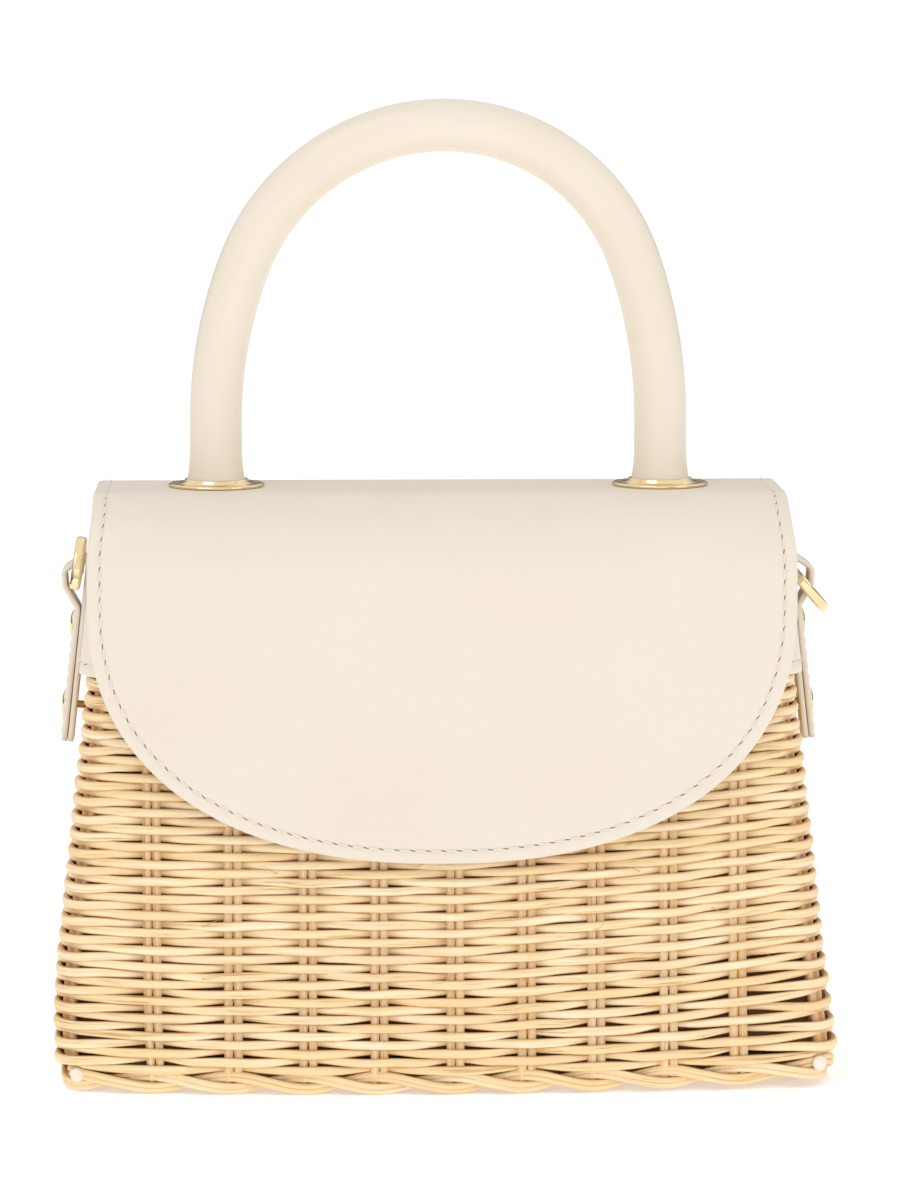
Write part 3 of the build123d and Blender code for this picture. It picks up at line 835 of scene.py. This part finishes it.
# half of the edge, from the lowest point of the flap round to the middle of the panel
turns = np.linspace(math.pi / 2, 0, 240)
flap_x = LID_HALF * np.cos(turns) ** (2 / 2.3)
flap_z = CURVE_TOP - (CURVE_TOP - FLAP_LOW) * np.sin(turns) ** (2 / 2.3)
half_edge = [np.stack([flap_x, down_to(flap_z)], 1)]
sides = np.linspace(down_to(CURVE_TOP) - 2, -down_to(HINGE + 5), 160)
half_edge.append(np.stack([np.full_like(sides, LID_HALF), sides], 1))
step = np.linspace(0, 1, 24)[1:]
neck = -down_to(HINGE + 5) + step * (-down_to(HINGE - 9) + down_to(HINGE + 5))
half_edge.append(np.stack([LID_HALF - (LID_HALF - PANEL_HALF) * smooth_step(step), neck], 1))
low = down_to(PANEL_LOW)
bend_turn = np.linspace(0, math.pi / 2, 20)
corner_x = PANEL_HALF - PANEL_CORNER + PANEL_CORNER * np.cos(bend_turn)
corner_p = -(low - PANEL_CORNER) - PANEL_CORNER * np.sin(bend_turn)
half_edge.append(np.stack([corner_x, corner_p], 1))
half_edge.append([[0.0, -low]])
half_edge = np.concatenate(half_edge)
edge = np.concatenate([half_edge, (half_edge * [-1, 1])[::-1][1:]])
EDGE_POINTS, LINING_POINTS = 760, 420
lid_edge = even_points(edge, EDGE_POINTS)
print("lid pattern", np.round(np.ptp(lid_edge, axis=0)), "mm, its edge", round(pieces(edge).sum()), "mm long")


# %% Lid pattern to mesh
def inward(loop):
    """The direction into the pattern at each point of a closed loop."""
    along = np.roll(loop, -3, 0) - np.roll(loop, 3, 0)
    along /= np.linalg.norm(along, axis=1)[:, None]
    left = np.stack([-along[:, 1], along[:, 0]], 1)
    area = np.sum(loop[:, 0] * np.roll(loop[:, 1], -1) - np.roll(loop[:, 0], -1) * loop[:, 1])
    return left if area > 0 else -left


def inside(points, loop):
    """Which points lie inside a closed loop."""
    x, y = points[:, :1], points[:, 1:]
    x1, y1 = loop[:, 0][None], loop[:, 1][None]
    x2, y2 = np.roll(x1, -1, 1), np.roll(y1, -1, 1)
    crosses = ((y1 > y) != (y2 > y)) & (x < (x2 - x1) * (y - y1) / (y2 - y1 + 1e-12) + x1)
    return crosses.sum(1) % 2 == 1


FILL = 4.0


def sheet_mesh(loop, insets, upper, lower, depth=None):
    """A closed sheet: rows that follow the edge, then a filled middle, on both faces."""
    into = inward(loop)
    rows = [loop + into * d for d in insets]
    inner = rows[-1]
    ps = np.concatenate(
        [
            np.arange(-80, -ARC_END, FILL),
            -np.linspace(ARC_END, FLAT_HALF, 18),
            np.linspace(-FLAT_HALF, FLAT_HALF, 9)[1:-1],
            np.linspace(FLAT_HALF, ARC_END, 18),
            np.arange(ARC_END + FILL, 120, FILL),
        ]
    )
    gx, gp = np.meshgrid(np.arange(-88, 88.1, FILL), ps)
    spots = np.stack([gx.ravel(), gp.ravel()], 1)
    spots = spots[inside(spots, inner)]
    near = np.array([np.min(np.hypot(*(inner - s).T)) for s in spots])
    spots = spots[near > 0.4 * FILL]
    flat_points = [Vector(p) for p in np.concatenate([inner, spots])]
    got = delaunay_2d_cdt(flat_points, [], [list(range(len(inner)))], 1, 1e-6)
    middle = [[got[3][i][0] for i in face] for face in got[2]]
    n, k = len(loop), len(insets)
    points, faces = [], []
    for side, height in (("upper", upper), ("lower", lower)):
        start = sum(len(p) for p in points)
        for level, row in zip([*height, height[-1]], [*rows, spots]):
            sunk = depth(row) if depth and side == "lower" else 0
            points.append(on_lid(row[:, 0], row[:, 1], level + sunk))
        wall = grid_faces(k, n, False, True, start)
        inner_start = start + (k - 1) * n
        made = [list(q) for q in wall] + [[inner_start + i for i in f][::-1] for f in middle]
        faces += [f[::-1] for f in made] if side == "upper" else made
    total = (k * n) + len(spots)
    for i in range(n):
        j = (i + 1) % n
        faces.append([i, j, total + j, total + i])
    return np.concatenate(points), faces


insets = [0.0, 0.1, 0.34, 0.8, 1.4, 2.2, 2.8, 3.3, 3.8, 4.6, 6.5, 9.0]
upper = [-0.62, -0.36, -0.14, -0.02, 0.03, 0.03, -0.03, -0.17, -0.04, 0.0, 0.0, 0.0]
lower = [-1.08, -1.34, -1.56, -1.68, -1.7, -1.7, -1.7, -1.7, -1.7, -1.7, -1.7, -1.7]
lid_points, lid_faces = sheet_mesh(lid_edge, insets, upper, lower)
flap_sheet = make_piece("lid_flap_leather", lid_points, lid_faces, lid_leather, None)
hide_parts("flap", "hinge_panel")
print("lid faces", len(lid_faces))

# %% [markdown]
# ## Lining and board under the lid
# Under the leather lies a thin cloth. Where the handle is bolted on, a flat board stiffens
# the top, and the cloth runs round it, so the lining steps down over the board.


# %% Lid lining
def board_step(flat):
    """How far the lining is pushed down over the stiffening board."""
    x, p = np.abs(flat[:, 0]), np.abs(flat[:, 1])
    return -2.0 * smooth_step((85.2 - x) / 1.6) * smooth_step((FLAT_HALF + 0.6 - p) / 1.8)


keep = lid_edge + inward(lid_edge) * 5.0
front_half = keep[keep[:, 1] > -down_to(HINGE + 5)]
order = np.argsort(np.arctan2(front_half[:, 0], front_half[:, 1]))
lining_loop = even_points(closed(front_half[order]), LINING_POINTS)
lining_points, lining_faces = sheet_mesh(
    lining_loop, [0.0, 0.3, 1.2, 3.0], [-1.74, -1.72, -1.72, -1.72], [-1.8, -1.95, -2.0, -2.0], board_step
)
lid_lining = make_piece("lid_lining_cloth", lining_points, lining_faces, canvas, "lid")
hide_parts("flap_lining", "top_board")
print("lining faces", len(lining_faces))

# %% Lid stitches
stitch_line = lid_edge + inward(lid_edge) * 3.3
lid_stitches = lay_stitches("lid_stitch", stitch_line, True, lambda a, b, h: on_lid(a, b, h - 0.1))
for piece in (flap_sheet, *lid_stitches):
    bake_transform(piece)
print("lid stitches", len(lid_stitches[0].data.vertices) // (len(BEAD_T) * BEAD_SIDES))

# %% [markdown]
# ## The handle
# The handle is soft leather pulled tight over a rope core, and flares where it meets the
# metal. Its line is straight legs, two long side curves and a tighter crown, joined so that
# they share their directions. Shaped by hand, it leans a millimetre or so to one side. A
# ring of points is carried along the line, and a shallow seam runs along its inner side.

# %% Handle
LEG, FOOT_Z, SPRING, ARCH, CROWN = 57.6, 153.2, 168.6, 76.5, 53.5
side_radius = (LEG**2 + (ARCH - CROWN) ** 2 - CROWN**2) / (2 * (LEG - CROWN))
side_x, crown_z = LEG - side_radius, SPRING + ARCH - CROWN
reach = math.atan2(crown_z - SPRING, -side_x)
leg = [(LEG, z, 1.0, 0.0) for z in (153.25, 153.5, 154.0, 155.0, 156.2, 157.6, 159.5, 162.0, 165.0)]
side = [
    (side_x + side_radius * math.cos(t), SPRING + side_radius * math.sin(t), math.cos(t), math.sin(t))
    for t in np.linspace(0, reach, 24)
]
crown = [
    (CROWN * math.cos(t), crown_z + CROWN * math.sin(t), math.cos(t), math.sin(t))
    for t in np.linspace(reach, math.pi / 2, 30)[1:]
]
half = leg + side + crown
whole = half + [(-x, z, -nx, nz) for x, z, nx, nz in half[:-1][::-1]]
HANDLE_SIDES, THICK, FLARE, HANDLE_LEAN = 40, 6.85, 0.85, 1.5
turn = circle(HANDLE_SIDES)
crease = 1 - 0.055 * np.exp(-(((turn - math.pi) / 0.13) ** 2))
rings = []
for x, z, nx, nz in whole:
    up = z - FOOT_Z
    turned_in = 0.5 if up < 0.1 else 0.12 if up < 0.4 else 0.0
    spoke = (THICK + FLARE * math.exp(-((max(up, 0) / 3.2) ** 1.3)) - turned_in) * crease
    x = x + HANDLE_LEAN * max(0.0, (z - SPRING) / ARCH) ** 2
    aside, deep = spoke * np.cos(turn), spoke * np.sin(turn)
    rings.append(np.stack([x + nx * aside, deep, z + nz * aside], 1))
faces = tube_faces(len(rings), HANDLE_SIDES)
handle = make_piece("handle_leather_tube", np.concatenate(rings), faces, handle_leather, "lid")
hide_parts("handle_cover", "handle_core")
print("handle rings", len(rings))

# %% [markdown]
# ## Gold flanges
# A round plate under each leg hides the hole and spreads the load. It is turned on a lathe,
# so its profile is drawn once and spun: a rounded rim, a slightly dished top and a small
# collar that grips the leather.

# %% Flanges
rim_profile = [(12.0, 0.0), (12.35, 0.12), (12.45, 0.4), (12.35, 0.68), (12.0, 0.85), (11.4, 0.88)]
rim_profile += [(10.6, 0.82), (9.4, 0.8)]
collar_profile = [(8.75, 1.0), (8.5, 1.25), (8.3, 1.75), (8.05, 2.0), (7.8, 1.95), (7.65, 1.7), (7.6, 1.2)]
profile = np.array([(2.1, 0.0), *rim_profile, *collar_profile, (2.1, 1.18)])
LATHE, SIDES_OF_BAG = 72, (("left", -1), ("right", 1))
spin = circle(LATHE)[:, None]
for name, sign in SIDES_OF_BAG:
    r, z = profile.T[:, None]
    pts = np.stack([sign * LEG + r * np.cos(spin), r * np.sin(spin), LID_TOP + 0.02 + z + 0 * spin], -1)
    faces = grid_faces(LATHE, len(profile), True, True)
    flange = make_piece(f"gold_flange_{name}", pts.reshape(-1, 3), faces, gold, "lid")
    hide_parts(f"handle_flange_{name}")
print("flange across", 2 * profile[:, 0].max(), "mm")

# %% [markdown]
# ## End tabs
# On each end a leather strap folds through the D ring and is riveted to the box. The
# strap's side view is a line with rounded corners, and a flat section with soft edges is
# carried along it. The visible face is stitched along both edges.

# %% End tabs
SLOPE = math.atan((BASE_HALF - RIM_HALF) / (RIM - WIDEST))
TAB_LOW, TAB_OUT, TAB_STITCH = 85.7, 4.85, 3.5


def up_wall(z):
    return (z - RIM) / math.cos(SLOPE)


def rounded(points, radius, steps=6):
    """A line of straight runs with each corner rounded by an arc."""
    made = [np.array(points[0], float)]
    for a, b, c in zip(points, points[1:], points[2:]):
        a, b, c = (np.array(v, float) for v in (a, b, c))
        u, v = (a - b) / np.linalg.norm(a - b), (c - b) / np.linalg.norm(c - b)
        half = math.acos(np.clip(u @ v, -1, 1)) / 2
        cut = min(radius / math.tan(half), 0.48 * np.linalg.norm(a - b), 0.48 * np.linalg.norm(c - b))
        start, end = b + u * cut, b + v * cut
        for t in np.linspace(0, 1, steps):
            made.append((1 - t) ** 2 * start + 2 * t * (1 - t) * b + t**2 * end)
    made.append(np.array(points[-1], float))
    return np.array(made)


def on_end(sign, n, y, t):
    """A point of the wall frame: n out of the wall, t up it from the rim."""
    x = RIM_HALF + n * math.cos(SLOPE) - t * math.sin(SLOPE)
    return np.stack(np.broadcast_arrays(sign * x, y, RIM + n * math.sin(SLOPE) + t * math.cos(SLOPE)), -1)


tab_line = rounded(
    [(2.45, up_wall(TAB_LOW)), (2.45, up_wall(134.7)), (8.7, up_wall(129.6)), (8.0, up_wall(125.6))]
    + [(4.1, up_wall(120.2)), (4.1, up_wall(TAB_LOW))],
    2.4,
)
dense = [tab_line[0]]
for p, q in zip(tab_line, tab_line[1:]):
    parts = max(1, int(np.linalg.norm(q - p) / 3))
    dense += [p + (q - p) * k / parts for k in range(1, parts + 1)]
dense = np.array(dense)
along = np.gradient(dense, axis=0)
along /= np.linalg.norm(along, axis=1)[:, None]
across = np.stack([along[:, 1], -along[:, 0]], 1)
strap = [(-5.0, 0.0), (-4.95, 0.35), (-4.7, 0.62), (-4.3, 0.75)]
strap += [(-3.9, 0.75), (-3.6, 0.66), (-3.3, 0.75), (0, 0.75)]
strap += [(-y, h) for y, h in strap[:-1][::-1]]
strap += [(y, -h) for y, h in strap[1:-1][::-1]]
strap = np.array(strap)
for name, sign in SIDES_OF_BAG:
    n, t = (dense[:, None, k] + across[:, None, k] * strap[None, :, 1] for k in (0, 1))
    pts = on_end(sign, n, strap[None, :, 0], t)
    faces = tube_faces(len(dense), len(strap))
    if sign < 0:
        faces = [tuple(f)[::-1] for f in faces]
    tab = make_piece(f"tab_leather_{name}", pts.reshape(-1, 3), faces, lid_leather, "basket")
    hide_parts(f"end_tab_{name}")
    low, high = up_wall(TAB_LOW) + 1.8, up_wall(118.5)
    loop = [(-TAB_STITCH, high), (-TAB_STITCH, low), (TAB_STITCH, low), (TAB_STITCH, high)]
    on_tab = lambda a, b, h: on_end(sign, TAB_OUT + h - 0.08, a, b)
    for piece in lay_stitches(f"tab_stitch_{name}", loop, False, on_tab, "basket", 3.2, 2.2):
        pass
print("tab line points", len(dense))

# %% [markdown]
# ## Rivets
# Two rivets hold each tab. Their shallow domes were hammered nearly flat, and inside the
# box a wide head spreads the load over the lining.

# %% Rivets
INSIDE, RIVET_LEVELS = -7.95, (("upper", 116.0), ("lower", 95.0))
rivet_profile = [(0.02, INSIDE), (3.3, INSIDE), (3.5, INSIDE + 0.2), (3.5, INSIDE + 0.6), (1.0, INSIDE + 0.62)]
rivet_profile += [(1.0, 4.84), (3.35, 4.84), (3.5, 4.95), (3.4, 5.2)]
rivet_profile += [(2.9, 5.5), (2.1, 5.75), (1.2, 5.88), (0.02, 5.92)]
r, n = np.array(rivet_profile).T[:, None]
k = len(rivet_profile)
faces = [*grid_faces(LATHE, k, True, False), tuple(range(0, LATHE * k, k)), tuple(range(k - 1, LATHE * k, k))]
for name, sign in SIDES_OF_BAG:
    for level, z in RIVET_LEVELS:
        turned = on_end(sign, n, r * np.sin(spin), up_wall(z) + r * np.cos(spin)).reshape(-1, 3)
        rivet = make_piece(f"gold_rivet_{level}_{name}", turned, faces, gold, "basket")
        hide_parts(f"rivet_{level}_{name}")
print("rivet across", 2 * r.max(), "mm")

# %% [markdown]
# ## The lining
# Inside hangs a canvas bag, glued under the rim. Cloth that only hangs is never flat, so
# its walls swell in and out by a few tenths of a millimetre and more towards the floor.

# %% Lining
LINING_IN, LINING_TOP, LINING_FLOOR, HALF_WAY_RING = -7.1, 122.3, 9.0, 15
wall_levels = np.concatenate([np.linspace(LINING_TOP, 14, 30), [11.5, 10.0, 9.3, 9.05]])
rings = []
for level in wall_levels:
    line, out, count = outline(level)
    ripple = np.sin(count * 1.9 + level * 0.02) + 0.6 * np.sin(count * 4.3 - level * 0.05)
    depth = 0.35 * smooth_step((122 - level) / 60) * ripple
    inset = LINING_IN - depth - 1.6 * smooth_step((11.5 - level) / 2.5)
    rings.append(np.concatenate([line + out * inset[:, None], np.full((len(line), 1), level)], 1))
last_ring = rings[-1]
for share in (0.96, 0.85, 0.7, 0.5, 0.3, 0.12):
    flat = last_ring.copy()
    flat[:, :2] *= share
    flat[:, 2] = LINING_FLOOR + 0.12 * np.sin(flat[:, 0] * 0.11) * np.cos(flat[:, 1] * 0.13)
    rings.append(flat)
points = np.concatenate([*rings, [[0.0, 0.0, LINING_FLOOR]]])
n = len(last_ring)
tip = len(rings) * n
faces = [*grid_faces(len(rings), n, False, True)]
faces += [(tip - n + i, tip, tip - n + (i + 1) % n) for i in range(n)]
lining = make_piece("bag_lining_canvas", points, faces, canvas, "basket")
thicken = lining.modifiers.new("cloth_thickness", "SOLIDIFY")
thicken.thickness = 0.0005
thicken.offset = 0
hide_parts("bag_lining")
print("lining faces", len(faces))

# %% [markdown]
# ## Metal and hidden CAD parts
# The rings, the bolts with their washers and nuts, the magnet catch and the base board come
# straight from the CAD model, because their shape is already exact. They only need their
# finish.

# %% Finishes for the CAD parts
node_finish = {
    gold: ["ring_left", "ring_right"],
    steel: ["catch_socket", "catch_washer", "catch_stud", "handle_bolt_left", "handle_bolt_right"]
    + ["handle_washer_left", "handle_washer_right", "handle_nut_left", "handle_nut_right"],
    board_card: ["base_board"],
}
for material, names in node_finish.items():
    for name in names:
        node_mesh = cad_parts[name].data
        node_mesh.materials.clear()
        node_mesh.materials.append(material)


print("CAD parts finished", sum(len(v) for v in node_finish.values()))

# %% [markdown]
# ## The rods across the ends
# A rod across each end holds the floor, and its cut end shows at the front as a pale disc,
# dotted with the pores of the cane.


# %% End rods
def cut_cane_material():
    material, tree, shader = start_material("cut_cane", {"Roughness": 0.6})
    place = put(tree, "TexCoord", out="Object")
    pores = put(tree, "TexVoronoi", {"Vector": place, "Scale": 2600.0}, "Distance")
    soft = put(tree, "TexNoise", {"Vector": place, "Scale": 500.0}, "Fac")
    share = put(tree, "MapRange", {0: soft, 1: 0.3, 2: 0.7})
    ends = {FROM: colour("F7F2E6"), TO: colour("F1E6D0")}
    base = put(tree, "Mix", {SHARE: share, **ends}, MIXED, data_type="RGBA")
    dots = put(tree, "MapRange", {0: pores, 1: 0.0, 2: 0.3, 3: 0.45, 4: 0.0})
    base = put(tree, "Mix", {SHARE: dots, FROM: base, TO: colour("D8C4A0")}, MIXED, data_type="RGBA")
    fill(tree, shader, {"Base Color": base})
    return material


cut_cane = cut_cane_material()
END_ROD_X, END_ROD_Z, END_ROD_RADIUS = 96.0, 4.5, 1.8
END_ROD_REACH = float(half_depth(4.6)) - 6.3
cut_end = [(0.0, 0.02), (-0.02, 0.8), (0.0, 1.5), (0.14, 1.72), (0.4, END_ROD_RADIUS)]
stations = [(y - END_ROD_REACH, r) for y, r in cut_end]
stations += [(y, END_ROD_RADIUS) for y in np.linspace(-END_ROD_REACH + 2, END_ROD_REACH - 2, 12)]
stations += [(END_ROD_REACH - y, r) for y, r in cut_end[::-1]]
y, r = np.array(stations).T[:, :, None]
turn = circle(20)[None]
for name, sign in SIDES_OF_BAG:
    x = sign * END_ROD_X + r * np.cos(turn)
    ring = uneven(np.stack([x, y + 0 * turn, END_ROD_Z + r * np.sin(turn)], -1))
    faces = tube_faces(len(stations), turn.size)
    rod = make_piece(f"cane_end_rod_{name}", ring.reshape(-1, 3), faces, cut_cane, "basket")
    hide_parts(f"end_rod_{name}")
print("end rods", 2 * round(END_ROD_REACH), "mm long")

# %% [markdown]


# %% [markdown]
# ## Floor and light
# A soft studio: a white floor, light from all round, a large soft box high on the left, a
# weaker one on the right and another in front. Shiny metal needs something dark to mirror,
# so mirror-like rays see a room that is warm and dark from the horizon down.

# %% Floor and light
floor_mesh = bpy.data.meshes.new("studio_floor")
floor_mesh.from_pydata([(-8, -8, 0), (8, -8, 0), (8, 8, 0), (-8, 8, 0)], [], [(0, 1, 2, 3)])
floor = bpy.data.objects.new("studio_floor", floor_mesh)
scene.collection.objects.link(floor)
WHITE = (1, 1, 1, 1)
paper_look = {"Roughness": 0.9, "Base Color": colour("F4F4F4")}
paper_look |= {"Emission Color": WHITE, "Emission Strength": 0.4}
floor_mesh.materials.append(start_material("white_paper", paper_look)[0])

world = bpy.data.worlds.new("studio")
scene.world = world
world.use_nodes = True
tree = world.node_tree
tree.nodes.clear()
glossy_ray = put(tree, "LightPath", out="Is Glossy Ray")
camera_ray = put(tree, "LightPath", out="Is Camera Ray")
place = put(tree, "TexCoord", out="Generated")
height = put(tree, "SeparateXYZ", {0: place}, "Z")
share = put(tree, "MapRange", {0: height, 1: 0.0, 2: 0.5})
room = put(tree, "Mix", {SHARE: share, FROM: colour("5E4A36"), TO: WHITE}, MIXED, data_type="RGBA")
all_round = put(tree, "Background", {"Color": WHITE, "Strength": 0.77})
mirrored = put(tree, "Background", {"Color": room, "Strength": 1.0})
seen = put(tree, "Background", {"Color": WHITE, "Strength": 1.05})
lit = put(tree, "MixShader", {0: glossy_ray, 1: all_round, 2: mirrored})
both = put(tree, "MixShader", {0: camera_ray, 1: lit, 2: seen})
put(tree, "OutputWorld", {0: both})


BAG_MIDDLE = (0, 0, 0.1)


def soft_box(name, place, size, power):
    """A square area light that faces the bag."""
    data = bpy.data.lights.new(name, "AREA")
    data.shape = "SQUARE"
    data.size, data.energy = size, power
    lamp = bpy.data.objects.new(name, data)
    scene.collection.objects.link(lamp)
    lamp.location = place
    lamp.rotation_mode = "QUATERNION"
    lamp.rotation_quaternion = (Vector(BAG_MIDDLE) - Vector(place)).to_track_quat("-Z", "Y")


soft_box("key_box", (-0.8, -0.8, 1.9), 0.9, 6.0)
soft_box("fill_box", (1.3, -1.0, 0.8), 0.8, 2.2)
soft_box("front_box", (0.0, -1.8, 0.45), 1.0, 2.0)
scene.view_settings.view_transform = "Standard"
print("lights", len(bpy.data.lights))
